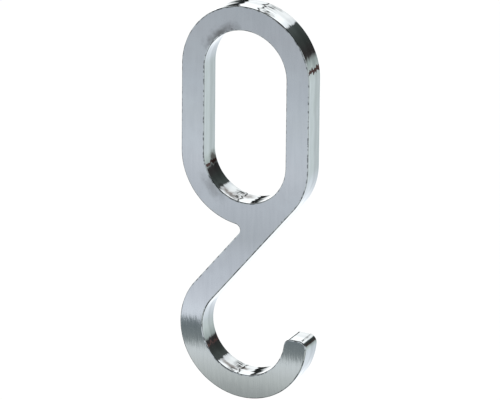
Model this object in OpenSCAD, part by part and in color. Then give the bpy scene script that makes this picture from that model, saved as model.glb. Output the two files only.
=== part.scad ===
// Closet rod hook: one cast piece that slides over an oval closet rail.
// An oval loop, a slanting arm and an open hook run into each other as one flat band.
// The front faces -Y, up is +Z, and the origin is the centre of the loop's opening.

/* [Rail loop] */
// Width of the opening that slides over the rail
opening_w = 15.5; // [14:0.5:18]
// Height of the opening, with a full round at each end
opening_h = 31; // [26:0.5:34]

/* [Band] */
// Width of the band, seen from the front
band_w = 4.3; // [3:0.1:5]
// Thickness of the band, from front to back
band_t = 4.4; // [3:0.1:6]
// Width of the 45-degree break along every edge of the band
edge_break = 0.2; // [0.1:0.05:0.4]

/* [Hook] */
// Drop from the centre of the opening to the centre of the hook
hook_drop = 39.4; // [38:0.2:50]
// Radius of the cradle inside the hook
cradle_r = 7.85; // [6.5:0.05:9]
// Height of the tip above the centre of the hook
tip_rise = 0.4; // [0:0.1:0.8]
// Radius of the two corners of the tip
tip_r = 1.4; // [1.1:0.1:1.6]
// Radius of the crotch between the loop and the arm
crotch_r = 1; // [0.6:0.1:1.6]

/* [Hidden] */
$fn = 96;

// How far one stretch laps into the next where they only touch, and how far a cut runs past
lap = 0.01;
round_lap = 0.02;
past = 1;
past_a = 8;

// The breaks of the loop, of the arm with its cradle, and of the cut rounds differ by a few
// hundredths, so that the corners of two stretches never fall on the same point
arm_break = edge_break + 0.01;
cut_break = edge_break + 0.03;

// Each stretch also stands proud of both faces of the band, by its own height, until all of
// them are cut flat together
loop_rise = 0.2;
arm_rise = 0.25;
web_rise = 0.3;
cut_rise = 0.4;

// Loop: inner, middle and outer radius of its round ends, and its straight sides
loop_in = opening_w / 2;
loop_mid = loop_in + band_w / 2;
loop_out = loop_in + band_w;
side_len = opening_h - opening_w;

// Hook: middle and outer radius of its bend
cradle_mid = cradle_r + band_w / 2;
cradle_out = cradle_r + band_w;

// Places worked out below are kept to a thousandth, so that faces which meet agree exactly
function kept(v) = round(v * 1000) / 1000;

// Arm: its lower edge touches the loop's lower end on one side and the cradle on the other,
// so it leaves the loop and lands on the cradle without a corner
arm_out = loop_out - lap;
centre_gap = hook_drop - side_len / 2;
arm_turn = acos((arm_out + cradle_r) / centre_gap);
arm_end = kept(centre_gap * sin(arm_turn));
leave_a = arm_turn - 90;

// Slant of the arm's top: where it meets the outer wall, and its fall per millimetre of width
slant_top = -0.1;
slant_fall = 0.3;

// Crotch: centre of its round, and the height where the bare edges would cross
crotch_x = arm_out - band_w - crotch_r + round_lap;
crotch = [crotch_x, -kept(sqrt(pow(loop_out + crotch_r - round_lap, 2) - pow(crotch_x, 2)))];
bare_y = -sqrt(pow(loop_out, 2) - pow(loop_in, 2));

// Tip: centres of its corner rounds, each touching the flat end and its own wall of the hook
tip_y = tip_rise - tip_r;
inner_tip = [kept(sqrt(pow(cradle_r + tip_r - round_lap, 2) - pow(tip_y, 2))), tip_y];
outer_tip = [kept(sqrt(pow(cradle_out - tip_r + round_lap, 2) - pow(tip_y, 2))), tip_y];

// Cross-section of the band, centred, with its width along X and its edges broken by b. It
// stands proud of the faces by rise, and its broken edges run on with it
module section(b, rise) {
    x = band_w / 2;
    y = band_t / 2;
    polygon([[x, y - b], [x - b - rise, y + rise], [b + rise - x, y + rise], [-x, y - b],
        [-x, b - y], [b + rise - x, -y - rise], [x - b - rise, -y - rise], [x, b - y]]);
}

// Half of a taller section, from the axis out to a wall at r. Its broken edges run outwards to
// cut a hollow (1), or inwards to keep a solid (-1)
module half_section(r, way) {
    flat = band_t / 2 - cut_break;
    high = band_t / 2 + cut_rise;
    end_r = r + way * (high - flat);
    polygon([[0, -high], [end_r, -high], [r, -flat], [r, flat], [end_r, high], [0, high]]);
}

// Straight stretch of band, from the origin along +Y
module bar(len, b, rise) {
    rotate([-90, 0, 0]) linear_extrude(len) section(b, rise);
}

// Bend of band round the origin
module bend(mid_r, from, sweep, b, rise) {
    rotate_extrude(angle = sweep, start = from) translate([mid_r, 0]) section(b, rise);
}

// Oval loop round the opening
module loop() {
    for (side = [-1, 1]) {
        translate([side * loop_mid, -side_len / 2, 0]) bar(side_len, edge_break, loop_rise);
        translate([0, side * side_len / 2, 0]) bend(loop_mid, side * 90 - 90, 180, edge_break, loop_rise);
    }
}

// Arm, hanging from the loop's lower end along its own lean, with its top cut on a slant
// that stays inside the loop's band
module arm() {
    cut_out = arm_out + past;
    cut_in = arm_out - band_w - past;
    difference() {
        translate([arm_out - band_w / 2, -arm_end, 0]) bar(arm_end, arm_break, arm_rise);
        linear_extrude(2 * band_t, center = true)
            polygon([[cut_out, slant_top + slant_fall * past], [cut_out, past],
                [cut_in, past], [cut_in, slant_top - slant_fall * (band_w + past)]]);
    }
}

// Web that rounds the crotch between the loop and the arm's upper edge
module crotch_web() {
    from_loop = crotch / norm(crotch) * loop_mid;
    difference() {
        linear_extrude(band_t + 2 * web_rise, center = true)
            polygon([crotch, [loop_mid, crotch.y], [loop_mid, bare_y + band_w / 2], from_loop]);
        translate(crotch) rotate([0, 0, 240]) rotate_extrude() half_section(crotch_r, 1);
    }
}

// What stays at the tip: its outline with round corners, and the break along its flat end
module tip_end() {
    flat_w = outer_tip.x - inner_tip.x;
    intersection() {
        linear_extrude(band_t + 2 * cut_rise, center = true) {
            for (corner = [inner_tip, outer_tip]) translate(corner) circle(tip_r);
            translate([inner_tip.x, tip_y - tip_r]) square([flat_w, 2 * tip_r]);
        }
        translate([inner_tip.x - past, tip_y, 0]) rotate([90, 0, 90]) linear_extrude(flat_w + 2 * past)
            for (side = [0, 1]) mirror([side, 0]) half_section(tip_r, -1);
    }
}

// Metal beyond the tip, cut square to the hook's walls where the corner rounds begin
module tip_waste() {
    top_y = tip_rise + 3 * past;
    inner_side = inner_tip / norm(inner_tip) * (cradle_r - past);
    outer_side = outer_tip / norm(outer_tip) * (cradle_out + past);
    difference() {
        linear_extrude(band_t + 2 * web_rise, center = true)
            polygon([inner_side, inner_tip, outer_tip, outer_side,
                [outer_side.x, top_y], [inner_side.x, top_y]]);
        tip_end();
    }
}

// Open hook, from where the arm lands round to the tip
module cradle() {
    difference() {
        bend(cradle_mid, 180, 180 - leave_a + past_a, arm_break, arm_rise);
        rotate([0, 0, -leave_a]) tip_waste();
    }
}

// All stretches together, cut flat to the band's thickness
module hook() {
    reach = 2 * (opening_h + hook_drop);
    color("silver") rotate([90, 0, 0]) intersection() {
        cube([reach, reach, band_t], center = true);
        union() {
            loop();
            translate([0, -side_len / 2, 0]) rotate([0, 0, leave_a]) {
                arm();
                crotch_web();
                translate([arm_out + cradle_r, -arm_end, 0]) cradle();
            }
        }
    }
}

hook();
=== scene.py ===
import math

import bmesh
import bpy
from mathutils import Matrix, Vector


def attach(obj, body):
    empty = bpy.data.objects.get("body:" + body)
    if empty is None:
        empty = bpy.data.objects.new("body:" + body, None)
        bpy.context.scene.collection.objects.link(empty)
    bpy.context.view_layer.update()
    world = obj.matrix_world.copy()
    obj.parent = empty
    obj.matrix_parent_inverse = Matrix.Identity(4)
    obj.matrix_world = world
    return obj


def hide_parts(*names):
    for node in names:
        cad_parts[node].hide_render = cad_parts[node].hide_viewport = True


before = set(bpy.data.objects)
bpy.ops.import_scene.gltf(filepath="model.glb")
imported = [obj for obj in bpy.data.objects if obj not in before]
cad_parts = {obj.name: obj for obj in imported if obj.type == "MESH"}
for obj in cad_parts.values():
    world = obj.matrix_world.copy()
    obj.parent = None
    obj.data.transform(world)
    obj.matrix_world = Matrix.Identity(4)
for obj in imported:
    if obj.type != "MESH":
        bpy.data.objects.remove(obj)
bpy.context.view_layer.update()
scene = bpy.context.scene
mm = 0.001
print("frame loaded")

hookShape = {
    "openingWidth": 15.5 * mm,
    "openingHeight": 31 * mm,
    "bandWidth": 4.3 * mm,
    "bandThickness": 4.4 * mm,
    "edgeRound": 0.2 * mm,
    "edgeSegments": 4,
    "hookDrop": 39.4 * mm,      # from the middle of the loop to the middle of the cradle
    "cradleRadius": 7.85 * mm,
    "tipRise": 0.4 * mm,        # the tip's top above the middle of the cradle
    "tipRadius": 1.4 * mm,
    "crotchRadius": 1 * mm,
    "bigArcStep": 1.5,          # degrees
    "smallArcStep": 7.5,
    "flatAbove": 0.999,         # a face is flat or a wall by the Y of its normal
    "wallBelow": 0.05,
}
halfBand = hookShape["bandThickness"] / 2
mergeWithin = 1e-7              # metres


def onPlane(x, z):
    return Vector((x, 0, z))


def around(centre, degrees, radius):
    a = math.radians(degrees)
    return centre + onPlane(math.cos(a) * radius, math.sin(a) * radius)


def drawOutline(bm, start, moves):
    # one vertex is drawn out along lines and spun along arcs, then the wire is closed and filled
    pen = bm.verts.new(start)
    for move in moves:
        if move[0] == "line":
            pen = bmesh.ops.extrude_vert_indiv(bm, verts=[pen])["verts"][0]
            pen.co = move[1]
        else:
            centre, sweep, step = move[1:]
            swept = bmesh.ops.spin(
                bm, geom=[pen], cent=centre, axis=(0, 1, 0), angle=-math.radians(sweep),
                steps=math.ceil(abs(sweep) / step), use_duplicate=False)
            pen = swept["geom_last"][0]
    loose = [v for v in bm.verts if not v.link_faces]
    bmesh.ops.remove_doubles(bm, verts=loose, dist=mergeWithin)
    bmesh.ops.edgeloop_fill(bm, edges=[e for e in bm.edges if e.is_wire])


def buildHookMesh(shape):
    inner = shape["openingWidth"] / 2
    outer = inner + shape["bandWidth"]
    sideHalf = (shape["openingHeight"] - shape["openingWidth"]) / 2
    upper, lower = onPlane(0, sideHalf), onPlane(0, -sideHalf)
    cradle = onPlane(0, -shape["hookDrop"])
    cradleIn = shape["cradleRadius"]
    cradleOut = cradleIn + shape["bandWidth"]
    big, small = shape["bigArcStep"], shape["smallArcStep"]

    # the arm's lower edge touches the loop's outer round and the cradle's inner round
    gap = (lower - cradle).length
    lean = math.degrees(math.acos((outer + cradleIn) / gap)) - 90
    landing = 180 + lean

    # the crotch's round touches the loop and the arm's upper edge
    crotchRound = shape["crotchRadius"]
    crotchX = inner - crotchRound
    crotchY = -math.sqrt((outer + crotchRound) ** 2 - crotchX ** 2)
    crotchAt = lean + math.degrees(math.atan2(crotchY, crotchX))
    crotchTurn = math.degrees(math.atan2(-crotchY, -crotchX))
    crotch = around(lower, crotchAt, outer + crotchRound)

    # each corner of the tip touches its own round of the cradle and the tip's flat top
    tipRound = shape["tipRadius"]
    tipY = shape["tipRise"] - tipRound
    innerTip = onPlane(math.sqrt((cradleIn + tipRound) ** 2 - tipY ** 2), tipY)
    outerTip = onPlane(math.sqrt((cradleOut - tipRound) ** 2 - tipY ** 2), tipY)
    innerTipTurn = math.degrees(math.atan2(tipY, innerTip.x))
    outerTipTurn = math.degrees(math.atan2(tipY, outerTip.x))

    # the outline is two faces: the loop's right half, and its left half with the hook
    bm = bmesh.new()
    cutTop = around(upper, 90, inner)
    drawOutline(bm, cutTop, [
        ("line", around(upper, 90, outer)),
        ("arc", upper, -90, big),
        ("line", around(lower, 0, outer)),
        ("arc", lower, lean, big),
        ("line", around(lower, lean, inner)),
        ("arc", lower, -lean, big),
        ("line", around(upper, 0, inner)),
        ("arc", upper, 90, big),
    ])
    drawOutline(bm, cutTop, [
        ("arc", upper, 90, big),
        ("line", around(lower, 180, inner)),
        ("arc", lower, landing, big),
        ("line", around(lower, lean, outer)),
        ("line", around(cradle, landing, cradleIn)),
        ("arc", cradle, 360 + innerTipTurn - landing, big),
        ("arc", cradle + innerTip, -90 - innerTipTurn, small),
        ("line", cradle + outerTip + onPlane(0, tipRound)),
        ("arc", cradle + outerTip, outerTipTurn - 90, small),
        ("arc", cradle, landing - 360 - outerTipTurn, big),
        ("line", around(crotch, lean, crotchRound)),
        ("arc", crotch, crotchTurn, small),
        ("arc", lower, -180 - crotchAt, big),
        ("line", around(upper, 180, outer)),
        ("arc", upper, -90, big),
        ("line", cutTop),
    ])
    bmesh.ops.remove_doubles(bm, verts=bm.verts, dist=mergeWithin)

    # the flat outline becomes the band, and every rim is rounded
    bmesh.ops.translate(bm, verts=bm.verts, vec=(0, -shape["bandThickness"] / 2, 0))
    back = bmesh.ops.extrude_face_region(bm, geom=bm.faces[:], use_keep_orig=True)
    backVerts = [g for g in back["geom"] if isinstance(g, bmesh.types.BMVert)]
    bmesh.ops.translate(bm, verts=backVerts, vec=(0, shape["bandThickness"], 0))
    bmesh.ops.recalc_face_normals(bm, faces=bm.faces)
    bm.normal_update()

    def isFlat(face):
        return abs(face.normal.y) > shape["flatAbove"]

    def isWall(face):
        return abs(face.normal.y) <= shape["wallBelow"]

    rims = [e for e in bm.edges if len(e.link_faces) == 2
            and isFlat(e.link_faces[0]) != isFlat(e.link_faces[1])]
    bmesh.ops.bevel(
        bm, geom=rims, offset=shape["edgeRound"], offset_type="OFFSET",
        segments=shape["edgeSegments"], profile=0.5, affect="EDGES",
        material=-1, clamp_overlap=False, loop_slide=True)
    bm.normal_update()
    for face in bm.faces:
        face.smooth = not isFlat(face)
        face.material_index = 0 if isFlat(face) else 1
    for edge in bm.edges:
        walls = [isWall(f) for f in edge.link_faces]
        if len(walls) == 2 and walls[0] != walls[1]:
            edge.smooth = False      # the round stops at the wall, so the wall stays flat
    mesh = bpy.data.meshes.new("hook")
    bm.to_mesh(mesh)
    openEdges = sum(1 for e in bm.edges if not e.is_manifold)
    print("hook mesh:", len(bm.faces), "faces,", openEdges, "open edges, volume",
          round(bm.calc_volume() / mm ** 3, 1))
    bm.free()
    return mesh


noiseSpan = (0.3, 0.7)      # nearly all of a noise lies in here


class Shading:
    # adds nodes to one tree and links them as they are made
    def __init__(self, tree):
        self.tree = tree

    def add(self, kind, inputs=None, **settings):
        node = self.tree.nodes.new(kind)
        for name, value in settings.items():
            setattr(node, name, value)
        for name, value in (inputs or {}).items():
            self.feed(node, name, value)
        return node

    def feed(self, node, name, value):
        if isinstance(value, bpy.types.NodeSocket):
            self.tree.links.new(value, node.inputs[name])
        else:
            node.inputs[name].default_value = value

    def math(self, operation, a, b=0.0):
        return self.add("ShaderNodeMath", {0: a, 1: b}, operation=operation).outputs[0]

    def vector(self, operation, a, b=(0, 0, 0)):
        node = self.add("ShaderNodeVectorMath", {0: a, 1: b}, operation=operation)
        return node.outputs["Value" if operation in ("LENGTH", "DOT_PRODUCT") else "Vector"]

    def axes(self, value):
        return self.add("ShaderNodeSeparateXYZ", {"Vector": value}).outputs

    def fade(self, value, low, high, atLow=0.0, atHigh=1.0, smooth=True):
        node = self.add("ShaderNodeMapRange", {
            "Value": value, "From Min": low, "From Max": high, "To Min": atLow, "To Max": atHigh})
        node.interpolation_type = "SMOOTHSTEP" if smooth else "LINEAR"
        return node.outputs["Result"]

    def blend(self, amount, first, second):
        node = self.add("ShaderNodeMix", data_type="RGBA")
        sockets = {socket.identifier: socket for socket in node.inputs}
        parts = {"Factor_Float": amount, "A_Color": first, "B_Color": second}
        for name, value in parts.items():
            if isinstance(value, bpy.types.NodeSocket):
                self.tree.links.new(value, sockets[name])
            else:
                sockets[name].default_value = value if name == "Factor_Float" else (*value, 1)
        return next(o for o in node.outputs if o.identifier == "Result_Color")

    def noise(self, place, scale, detail):
        node = self.add("ShaderNodeTexNoise", {"Vector": place, "Scale": scale, "Detail": detail})
        return node.outputs["Fac"]

    def ramp(self, value, stops):
        node = self.add("ShaderNodeValToRGB", {"Fac": value})
        marks = node.color_ramp.elements
        marks[0].position, marks[1].position = 0, 1
        for place, _ in stops[1:-1]:
            marks.new(place)
        for mark, (_, color) in zip(marks, stops):
            mark.color = (*color, 1)
        return node.outputs["Color"]

    def bump(self, height, distance, normal=None):
        inputs = {"Height": height, "Strength": 1.0, "Distance": distance}
        if normal is not None:
            inputs["Normal"] = normal
        return self.add("ShaderNodeBump", inputs).outputs["Normal"]


plateLook = {
    "grainScale": 1.0,          # on a place that is stretched already
    "streakScale": 0.3,
    "streakDetail": 2.0,
}


def buildPlateGroup(look):
    # plated metal in general: grain drawn out along one direction, its streaks, and broad patches
    tree = bpy.data.node_groups.new("plateTexture", "ShaderNodeTree")
    for name, kind in (("Place", "NodeSocketVector"), ("Stretch", "NodeSocketVector"),
                       ("Patch Scale", "NodeSocketFloat"), ("Detail", "NodeSocketFloat")):
        tree.interface.new_socket(name=name, in_out="INPUT", socket_type=kind)
    for name in ("Grain", "Streaks", "Patches"):
        tree.interface.new_socket(name=name, in_out="OUTPUT", socket_type="NodeSocketFloat")
    nodes = Shading(tree)
    given = nodes.add("NodeGroupInput").outputs
    drawn = nodes.vector("MULTIPLY", given["Place"], given["Stretch"])
    nodes.add("NodeGroupOutput", {
        "Grain": nodes.noise(drawn, look["grainScale"], given["Detail"]),
        "Streaks": nodes.noise(drawn, look["streakScale"], look["streakDetail"]),
        "Patches": nodes.noise(given["Place"], given["Patch Scale"], given["Detail"])})
    return tree


plateGroup = buildPlateGroup(plateLook)


def newMaterial(name, finish):
    mat = bpy.data.materials.new(name)
    mat.use_nodes = True
    nodes = Shading(mat.node_tree)
    shader = mat.node_tree.nodes["Principled BSDF"]
    shader.inputs["Metallic"].default_value = 1
    shader.inputs["Anisotropic"].default_value = finish["anisotropy"]
    place = nodes.add("ShaderNodeTexCoord").outputs["Object"]
    plate = nodes.add("ShaderNodeGroup", node_tree=plateGroup)
    for socket, value in (("Place", place), ("Stretch", finish["stretch"]),
                          ("Patch Scale", finish["patchScale"]), ("Detail", finish["detail"])):
        nodes.feed(plate, socket, value)
    return mat, nodes, shader, place, plate.outputs


def spotMask(nodes, place, cloud, spot, ragged=0.18):
    # an oval cloud: middle, half sizes along, in depth and across, turn in the XZ plane, strength
    middle, halves, turn, strength = spot
    moved = nodes.add("ShaderNodeMapping", {
        "Vector": place, "Location": [c * mm for c in middle],
        "Rotation": (0, -math.radians(turn), 0), "Scale": [h * mm for h in halves],
    }, vector_type="TEXTURE").outputs["Vector"]
    edge = nodes.fade(cloud, *noiseSpan, -ragged, ragged, smooth=False)
    away = nodes.math("ADD", nodes.vector("LENGTH", moved), edge)
    return nodes.math("MINIMUM", nodes.fade(away, 1.0, 0.0, 0.0, strength), 1.0)


faceFinish = {
    "color": (0.56, 0.58, 0.61),
    "streakColor": (0.535, 0.555, 0.585),
    "streakCut": (0.35, 0.65),
    "patchColor": (0.575, 0.60, 0.63),
    "patchCut": (0.48, 0.68),
    "patchStrength": 0.8,
    "roughness": (0.055, 0.085),
    "patchWear": 0.15,              # how far the patches shift the roughness
    "anisotropy": 1.0,
    "stretch": (4600, 4600, 420),   # brushing runs along Z
    "patchScale": 210,
    "detail": 3.0,
    "grainHeight": 0.008 * mm,
    "cloudScale": 900,              # breaks up the outline of smudges and nicks
    "cloudDetail": 3.0,
    # soft dark smudges beside the opening: middle, half sizes, turn and strength, in mm
    "smudgeColor": (0.18, 0.18, 0.18),
    "smudges": [
        ((-4.4, -2.2, 13.9), (5.0, 2, 2.3), 38, 0.95),
        ((-5.9, -2.2, -13.7), (4.0, 2, 2.0), -44, 0.48),
    ],
    # small dark nicks: x and z, in mm
    "nickColor": (0.06, 0.06, 0.06),
    "nickRadius": 0.26,
    "nickStrength": 0.75,
    "nicks": [
        (-2.53, 15.49), (-11.8, 9.64), (7.24, -17.65), (-3.87, -31.6), (-5.88, -34.06),
        (-7.45, -36.59), (-0.65, -47.31), (10.37, -45.57), (10.76, -45.05), (-5.73, -42.45),
        (-6.7, -42.08),
    ],
}


def buildFaceMaterial(finish):
    mat, nodes, shader, place, plate = newMaterial("satinChrome", finish)
    streaks = nodes.fade(plate["Streaks"], *finish["streakCut"])
    tint = nodes.blend(streaks, finish["color"], finish["streakColor"])
    patches = nodes.fade(plate["Patches"], *finish["patchCut"], 0.0, finish["patchStrength"])
    tint = nodes.blend(patches, tint, finish["patchColor"])
    cloud = nodes.noise(place, finish["cloudScale"], finish["cloudDetail"])
    for smudge in finish["smudges"]:
        tint = nodes.blend(spotMask(nodes, place, cloud, smudge), tint, finish["smudgeColor"])
    radius = finish["nickRadius"]
    for x, z in finish["nicks"]:
        nick = ((x, -halfBand / mm, z), (radius,) * 3, 0, finish["nickStrength"])
        tint = nodes.blend(spotMask(nodes, place, cloud, nick), tint, finish["nickColor"])
    nodes.feed(shader, "Base Color", tint)
    wear = nodes.fade(plate["Patches"], *noiseSpan, -finish["patchWear"], finish["patchWear"])
    worn = nodes.math("ADD", plate["Grain"], wear)
    nodes.feed(shader, "Roughness", nodes.fade(worn, *noiseSpan, *finish["roughness"]))
    nodes.feed(shader, "Normal", nodes.bump(plate["Grain"], finish["grainHeight"]))
    return mat


sideFinish = {
    "color": (0.56, 0.59, 0.60),
    # plating lies in stripes along the band: share of the colour by depth in mm from the middle
    "stripes": [
        (-2.2, 1.06), (-1.9, 1.06), (-1.5, 0.94), (-0.7, 1.0), (-0.2, 0.95), (0.25, 0.80),
        (0.7, 0.80), (1.3, 0.87), (1.75, 0.77), (2.2, 0.90),
    ],
    "stripeSway": 0.5 * mm,
    # painted dark reflection, broken into specks, along the rounded rims, where the surface tilts
    # to the front or back
    "paintedRimReflectionColor": (0.16, 0.17, 0.175),
    "rimTilt": (0.1, 0.5),
    "speckScale": 1500,
    "speckDetail": 2.0,
    "speckCut": (0.45, 0.60),
    "speckStrength": (0.05, 0.85),
    # painted dark brown-grey reflections in the bottom of the opening and of the cradle, and one on
    # the loop's rim:
    # middle, half sizes, turn and strength, in mm
    "paintedReflectionColor": (0.11, 0.10, 0.095),
    "paintedReflectionSpots": [
        ((-7.5, 1.0, -9.7), (1.9, 1.6, 1.6), -76, 1.5),
        ((-3.4, -0.95, -14.6), (3.9, 1.3, 1.8), -26, 1.0),
        ((-0.7, 0.8, -15.45), (1.8, 1.4, 1.4), -5, 0.8),
        ((-3.1, -0.8, -46.6), (3.4, 1.0, 1.6), -23, 1.0),
        ((-0.9, 0.4, -47.2), (1.6, 0.8, 1.4), -7, 1.1),
        ((6.56, -2.2, 17.86), (2.2, 0.3, 0.6), -33, 1.0),
    ],
    "roughness": (0.015, 0.05),
    "anisotropy": 0.0,
    "stretch": (300, 700, 300),
    "patchScale": 190,
    "detail": 1.2,                  # more would break up thin reflections
    "rippleHeight": 0.075 * mm,
    "waveHeight": 0.12 * mm,
}


def buildSideMaterial(finish):
    mat, nodes, shader, place, plate = newMaterial("brightChrome", finish)
    sway = finish["stripeSway"]
    swaying = nodes.fade(plate["Patches"], 0.0, 1.0, -sway, sway, smooth=False)
    depth = nodes.math("ADD", nodes.axes(place)["Y"], swaying)
    across = nodes.fade(depth, -halfBand, halfBand, smooth=False)
    tint = nodes.ramp(across, [
        ((at * mm + halfBand) / (2 * halfBand), [share * c for c in finish["color"]])
        for at, share in finish["stripes"]])
    facing = nodes.add("ShaderNodeNewGeometry").outputs["True Normal"]
    tilt = nodes.fade(nodes.math("ABSOLUTE", nodes.axes(facing)["Y"]), *finish["rimTilt"])
    specks = nodes.noise(place, finish["speckScale"], finish["speckDetail"])
    speckled = nodes.fade(specks, *finish["speckCut"], *finish["speckStrength"])
    # painted dark reflection, in specks, along the rounded rims
    tint = nodes.blend(nodes.math("MULTIPLY", tilt, speckled), tint, finish["paintedRimReflectionColor"])
    # painted dark reflections at the bottom of the opening and of the cradle, and on the loop's rim
    for reflectionSpot in finish["paintedReflectionSpots"]:
        tint = nodes.blend(spotMask(nodes, place, specks, reflectionSpot), tint, finish["paintedReflectionColor"])
    nodes.feed(shader, "Base Color", tint)
    nodes.feed(shader, "Roughness",
               nodes.fade(plate["Patches"], *noiseSpan, *finish["roughness"]))
    waves = nodes.bump(plate["Patches"], finish["waveHeight"])
    nodes.feed(shader, "Normal", nodes.bump(plate["Grain"], finish["rippleHeight"], waves))
    return mat


hookMesh = buildHookMesh(hookShape)
hook = bpy.data.objects.new("chromeHook", hookMesh)
scene.collection.objects.link(hook)
hookMesh.materials.append(buildFaceMaterial(faceFinish))
hookMesh.materials.append(buildSideMaterial(sideFinish))
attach(hook, "root")
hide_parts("hook")
print("hook built")

cameraView = {
    "azimuth": 26.539,      # degrees
    "elevation": 21.117,
    "roll": 0.526,
    "distance": 954.0 * mm,
    "target": (0.059 * mm, 0, -15.694 * mm),
    "lens": 402.3,          # mm
    "sensorWidth": 36,
    "nearest": 10 * mm,
}


def placeCamera(view):
    a, e, r = (math.radians(view[k]) for k in ("azimuth", "elevation", "roll"))
    ahead = Vector((-math.sin(a) * math.cos(e), math.cos(a) * math.cos(e), -math.sin(e)))
    level = Vector((math.cos(a), math.sin(a), 0))
    upright = level.cross(ahead)
    right = level * math.cos(r) + upright * math.sin(r)
    up = upright * math.cos(r) - level * math.sin(r)
    data = bpy.data.cameras.new("viewCamera")
    data.lens = view["lens"]
    data.sensor_width = view["sensorWidth"]
    data.clip_start = view["nearest"]
    camera = bpy.data.objects.new("viewCamera", data)
    scene.collection.objects.link(camera)
    turn = Matrix((right, up, -ahead)).transposed().to_4x4()
    middle = Vector(view["target"]) - ahead * view["distance"]
    camera.matrix_world = Matrix.Translation(middle) @ turn
    scene.camera = camera


placeCamera(cameraView)
print("camera placed")

worldLook = {
    "frontTone": (0.70, 0.74, 0.77),
    "frontEdge": (-0.70, -0.56),        # by Y of the direction, from the front to the belt
    "behindEdge": (0.26, 0.76),         # from the belt to what lies behind
    "poleTone": (0.80, 0.84, 0.88),
    "poleEdge": (0.94, 0.985),
    "wobble": 0.02,                     # of a full turn
    "wobbleScale": 9.0,
    "wobbleDetail": 3.0,
    # grey streaks in the bright part above: fading in and out by angle, in degrees
    "streakTone": (0.10, 0.105, 0.10),
    "streakRange": (86, 100, 150, 158),
    "streakScale": (7.0, 13.0),         # along the turn, and along Y
    "streakDetail": 2.0,
    "streakCut": (0.55, 0.62),
    # soft bright areas off to either side: direction and tone
    "sidePatches": [
        ((0.98, 0.12, 0.12), (0.95, 0.98, 1.0)),
        ((-0.98, 0.02, 0.10), (0.85, 0.88, 0.90)),
    ],
    "sidePatchEdge": (0.86, 0.97),      # cosine of the angle from the direction
}

# what the bright sides see behind the hook: tones by angle round the Y axis, in degrees from +X
behindTones = [
    (-180, (0.9, 0.92, 0.92)),
    (-173, (1.3, 1.3, 1.3)),
    (-160, (1.6, 1.6, 1.6)),
    (-142, (1.5, 1.5, 1.5)),
    (-122, (1.15, 1.17, 1.2)),
    (-111, (1.34, 1.37, 1.42)),
    (-98, (1.22, 1.27, 1.34)),
    (-82, (1.08, 1.13, 1.2)),
    (-60, (1.0, 1.06, 1.12)),
    (-45, (0.9, 0.97, 0.99)),
    (-27, (0.84, 0.92, 0.9)),
    (-15, (0.72, 0.79, 0.77)),
    (-3, (0.55, 0.62, 0.6)),
    (2, (0.3, 0.32, 0.31)),
    (6, (0.07, 0.065, 0.065)),
    (14, (0.05, 0.045, 0.045)),
    (35, (0.06, 0.068, 0.064)),
    (56, (0.1, 0.115, 0.11)),
    (63.5, (0.12, 0.13, 0.13)),
    (67, (1.4, 1.42, 1.45)),
    (78, (1.75, 1.75, 1.75)),
    (116.5, (1.75, 1.75, 1.75)),
    (118.5, (0.12, 0.12, 0.12)),
    (122, (0.12, 0.12, 0.12)),
    (124, (1.75, 1.75, 1.75)),
    (154, (1.7, 1.7, 1.7)),
    (157, (0.03, 0.03, 0.03)),
    (172, (0.03, 0.035, 0.035)),
    (177, (0.5, 0.52, 0.52)),
    (180, (0.9, 0.92, 0.92)),
]
# what the rounded rims see between the front and the back, by the same angle
beltTones = [
    (-180, (0.20, 0.21, 0.22)), (-157, (0.24, 0.25, 0.26)), (-138, (0.30, 0.32, 0.33)),
    (-116, (0.18, 0.19, 0.19)), (-80, (0.26, 0.27, 0.27)), (-62, (0.22, 0.23, 0.23)),
    (-37, (0.62, 0.64, 0.65)), (-20, (0.58, 0.60, 0.61)), (-2, (0.22, 0.23, 0.23)),
    (12, (0.05, 0.05, 0.05)), (40, (0.02, 0.02, 0.02)), (120, (0.02, 0.02, 0.02)),
    (150, (0.04, 0.04, 0.04)), (168, (0.14, 0.15, 0.15)), (180, (0.20, 0.21, 0.22)),
]


def asStops(tones, low, high):
    return [((place - low) / (high - low), color) for place, color in tones]


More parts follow.
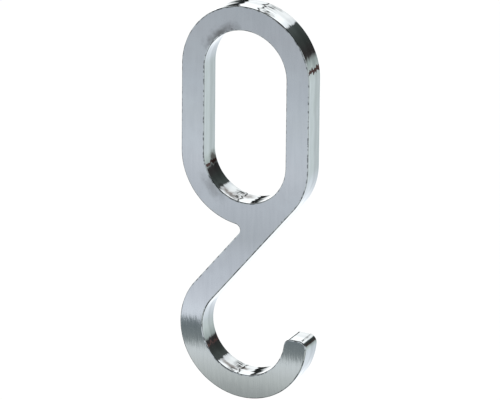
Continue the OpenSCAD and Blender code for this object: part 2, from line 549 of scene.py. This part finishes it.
def buildWorld(settings):
    world = bpy.data.worlds.new("studioWorld")
    scene.world = world
    world.use_nodes = True
    nodes = Shading(world.node_tree)
    look = nodes.add("ShaderNodeTexCoord").outputs["Generated"]
    x, y, z = nodes.axes(look)
    turn = nodes.fade(nodes.math("ARCTAN2", z, x), -math.pi, math.pi, smooth=False)

    # behind: tones by angle, with a slight wobble and the grey streaks
    wobble = settings["wobble"]
    wobbling = nodes.noise(look, settings["wobbleScale"], settings["wobbleDetail"])
    wobbling = nodes.fade(wobbling, 0.0, 1.0, -wobble, wobble, smooth=False)
    behind = nodes.ramp(nodes.math("ADD", turn, wobbling), asStops(behindTones, -180, 180))
    alongTurn, alongY = settings["streakScale"]
    drawn = nodes.add("ShaderNodeCombineXYZ", {
        "X": nodes.math("MULTIPLY", turn, alongTurn), "Y": nodes.math("MULTIPLY", y, alongY)})
    rise, full, drop, end = (a / 360 + 0.5 for a in settings["streakRange"])
    streak = nodes.noise(drawn.outputs[0], 1.0, settings["streakDetail"])
    streak = nodes.fade(streak, *settings["streakCut"])
    streak = nodes.math("MULTIPLY", streak, nodes.fade(turn, rise, full))
    streak = nodes.math("MULTIPLY", streak, nodes.fade(turn, end, drop))
    behind = nodes.blend(streak, behind, settings["streakTone"])
    behind = nodes.blend(nodes.fade(y, *settings["poleEdge"]), behind, settings["poleTone"])

    # belt: tones by angle, with the bright areas off to either side
    belt = nodes.ramp(turn, asStops(beltTones, -180, 180))
    for direction, tone in settings["sidePatches"]:
        near = nodes.vector("DOT_PRODUCT", look, Vector(direction).normalized())
        belt = nodes.blend(nodes.fade(near, *settings["sidePatchEdge"]), belt, tone)

    seen = nodes.blend(nodes.fade(y, *settings["frontEdge"]), settings["frontTone"], belt)
    seen = nodes.blend(nodes.fade(y, *settings["behindEdge"]), seen, behind)
    glossy = nodes.add("ShaderNodeLightPath").outputs["Is Glossy Ray"]
    background = world.node_tree.nodes["Background"]
    nodes.feed(background, "Color", nodes.blend(glossy, (1, 1, 1), seen))


def addPanel(name, size, turn, middle):
    bm = bmesh.new()
    bmesh.ops.create_grid(bm, x_segments=1, y_segments=1, size=0.5)
    bmesh.ops.scale(bm, verts=bm.verts, vec=(size[0], size[1], 1))
    bmesh.ops.rotate(bm, verts=bm.verts, cent=(0, 0, 0), matrix=turn)
    bmesh.ops.translate(bm, verts=bm.verts, vec=middle)
    mesh = bpy.data.meshes.new(name)
    bm.to_mesh(mesh)
    bm.free()
    panel = bpy.data.objects.new(name, mesh)
    scene.collection.objects.link(panel)
    mat = bpy.data.materials.new(name)
    mat.use_nodes = True
    mesh.materials.append(mat)
    return panel, mat


def onlyReflected(panel, mat):
    # seen in the chrome alone, and lit by its own tones alone
    panel.visible_camera = panel.visible_shadow = False
    panel.visible_diffuse = panel.visible_transmission = False
    mat.node_tree.nodes.remove(mat.node_tree.nodes["Principled BSDF"])


floorLook = {
    "drop": 150 * mm,
    "size": 6.0,            # metres
    "color": (0.9, 0.9, 0.9, 1),
    "roughness": 0.9,
    "ownWhite": 0.8,        # share of plain white, so that it stays pale; the rest takes the shadow
}


def buildFloor(settings):
    floor, mat = addPanel("paleFloor", (settings["size"],) * 2, Matrix.Identity(3),
                          (0, 0, -settings["drop"]))
    floor.visible_glossy = False      # the world stands in for it in reflections
    nodes = Shading(mat.node_tree)
    shader = mat.node_tree.nodes["Principled BSDF"]
    shader.inputs["Base Color"].default_value = settings["color"]
    shader.inputs["Roughness"].default_value = settings["roughness"]
    shader.inputs["Specular IOR Level"].default_value = 0
    paths = nodes.add("ShaderNodeLightPath").outputs
    seen = nodes.math("MAXIMUM", paths["Is Camera Ray"], paths["Is Glossy Ray"])
    seen = nodes.math("MAXIMUM", seen, paths["Is Transmission Ray"])
    white = nodes.add("ShaderNodeEmission", {"Color": (1, 1, 1, 1), "Strength": 1.0}).outputs[0]
    mixed = nodes.add("ShaderNodeMixShader", {
        0: nodes.math("MULTIPLY", seen, settings["ownWhite"]),
        1: shader.outputs[0], 2: white}).outputs[0]
    # from below, the floor is clear
    clear = nodes.add("ShaderNodeBsdfTransparent").outputs[0]
    below = nodes.add("ShaderNodeNewGeometry").outputs["Backfacing"]
    mixed = nodes.add("ShaderNodeMixShader", {0: below, 1: mixed, 2: clear}).outputs[0]
    nodes.feed(mat.node_tree.nodes["Material Output"], "Surface", mixed)


cardLook = {
    "gap": 60 * mm,                 # in front of the hook
    "size": (240 * mm, 170 * mm),
    "middle": (-20 * mm, -45 * mm),
    "lean": 0.03,                   # the tones rise by this share of X
    "solidShare": (0.35, 0.42),     # of its width and height, out from the middle; then it fades
}

# tones of the card before the flat face, from its lower edge up, by height in mm
cardTones = [
    (-130, (0.6, 0.63, 0.62)),
    (-88, (0.45, 0.48, 0.46)),
    (-77.9, (0.5, 0.53, 0.5)),
    (-76.4, (0.58, 0.61, 0.58)),
    (-74.3, (0.74, 0.78, 0.74)),
    (-72.1, (0.87, 0.91, 0.88)),
    (-70.0, (0.97, 1.02, 1.0)),
    (-69.3, (0.8, 0.85, 0.83)),
    (-68.6, (0.33, 0.37, 0.36)),
    (-66.8, (0.27, 0.31, 0.31)),
    (-64.3, (0.21, 0.25, 0.26)),
    (-64.05, (1.1, 1.15, 1.2)),
    (-62.4, (1.06, 1.11, 1.16)),
    (-59.4, (0.93, 0.97, 1.02)),
    (-55, (0.83, 0.87, 0.92)),
    (-49.6, (0.76, 0.8, 0.84)),
    (-46.5, (0.68, 0.72, 0.75)),
    (-41, (0.75, 0.79, 0.83)),
    (-37.9, (0.76, 0.8, 0.84)),
    (-32.5, (0.86, 0.9, 0.94)),
    (-28, (0.84, 0.89, 0.93)),
    (-22.9, (0.8, 0.85, 0.88)),
    (-17.5, (0.73, 0.78, 0.82)),
    (-12, (0.68, 0.72, 0.75)),
    (-6.8, (0.64, 0.67, 0.7)),
    (-2.5, (0.63, 0.67, 0.7)),
    (40, (0.6, 0.64, 0.68)),
]


def buildCard(settings):
    middleX, middleZ = settings["middle"]
    card, mat = addPanel("toneCard", settings["size"], Matrix.Rotation(math.pi / 2, 3, "X"),
                         (middleX, -settings["gap"], middleZ))
    onlyReflected(card, mat)
    nodes = Shading(mat.node_tree)
    place = nodes.axes(nodes.add("ShaderNodeTexCoord").outputs["Object"])
    x, z = place["X"], place["Z"]
    low, high = cardTones[0][0], cardTones[-1][0]
    level = nodes.math("SUBTRACT", z, nodes.math("MULTIPLY", x, settings["lean"]))
    level = nodes.fade(level, low * mm, high * mm, smooth=False)
    tones = nodes.ramp(level, asStops(cardTones, low, high))
    inside = []
    for axis, middle, size, share in zip(
            (x, z), settings["middle"], settings["size"], settings["solidShare"]):
        away = nodes.math("ABSOLUTE", nodes.math("SUBTRACT", axis, middle))
        inside.append(nodes.fade(away, size / 2, size * share))
    lit = nodes.add("ShaderNodeEmission", {"Color": tones, "Strength": 1.0}).outputs[0]
    clear = nodes.add("ShaderNodeBsdfTransparent").outputs[0]
    mixed = nodes.add("ShaderNodeMixShader", {
        0: nodes.math("MULTIPLY", *inside), 1: clear, 2: lit}).outputs[0]
    nodes.feed(mat.node_tree.nodes["Material Output"], "Surface", mixed)


stripLook = {
    "from": (11.9 * mm, 0, 9.8 * mm),
    "away": 150 * mm,
    "angles": (-21, 33.4),          # round the Y axis from +X, and off the Y axis
    "size": (36 * mm, 12 * mm),
    "color": (0.13, 0.08, 0.075, 1),
}


def buildStrip(settings):
    # a thin dark strip behind, which crosses the loop's outer side as one thin line
    roundAxis, offAxis = (math.radians(a) for a in settings["angles"])
    outwards = Vector((math.sin(offAxis) * math.cos(roundAxis), math.cos(offAxis),
                       math.sin(offAxis) * math.sin(roundAxis)))
    across = Vector((-math.sin(roundAxis), 0, math.cos(roundAxis)))
    turn = Matrix((across.cross(outwards), across, outwards)).transposed()
    middle = Vector(settings["from"]) + outwards * settings["away"]
    strip, mat = addPanel("darkStrip", settings["size"], turn, middle)
    onlyReflected(strip, mat)
    nodes = Shading(mat.node_tree)
    dark = nodes.add("ShaderNodeEmission", {"Color": settings["color"], "Strength": 1.0})
    nodes.feed(mat.node_tree.nodes["Material Output"], "Surface", dark.outputs[0])


lampLook = {
    "size": 0.8,        # metres
    "height": 1.2,
    "power": 6,         # watts
}


def addLamp(settings):
    data = bpy.data.lights.new("softLamp", "AREA")
    data.shape = "DISK"
    data.size = settings["size"]
    data.energy = settings["power"]
    lamp = bpy.data.objects.new("softLamp", data)
    lamp.location = (0, 0, settings["height"])
    lamp.visible_glossy = False
    scene.collection.objects.link(lamp)


buildWorld(worldLook)
buildFloor(floorLook)
buildCard(cardLook)
buildStrip(stripLook)
addLamp(lampLook)
print("studio built")

scene.view_settings.view_transform = "Standard"
